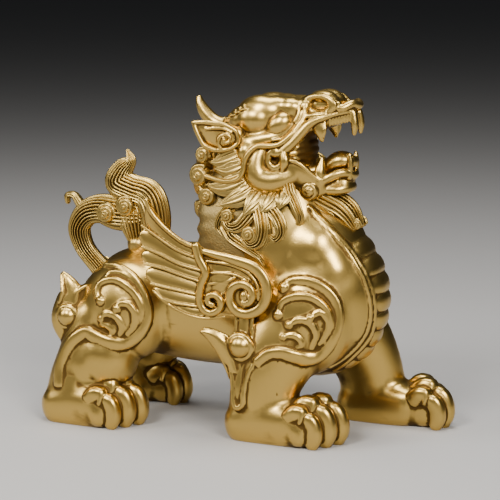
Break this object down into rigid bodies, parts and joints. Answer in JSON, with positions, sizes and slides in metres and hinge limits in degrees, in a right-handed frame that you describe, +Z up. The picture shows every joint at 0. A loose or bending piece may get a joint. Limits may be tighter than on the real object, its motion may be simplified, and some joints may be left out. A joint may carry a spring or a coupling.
{
  "type": "pixiu figure",
  "caption": "Cast brass pixiu, a winged lion-dragon with one horn, striding with its head raised and jaws open, for a desk or shelf.",
  "frame": {"origin": "centre of the bounding box's underside, on the floor between the paws", "axes": "+X the way the figure faces, +Y to its left, +Z up"},
  "size_m": [0.2582, 0.1072, 0.2136],
  "materials": {
    "brass": "satin gilt brass, brighter on the raised edges and browner in the cuts"
  },
  "bodies": {
    "root": {"pixiu_figure": "brass"}
  },
  "joints": []
}
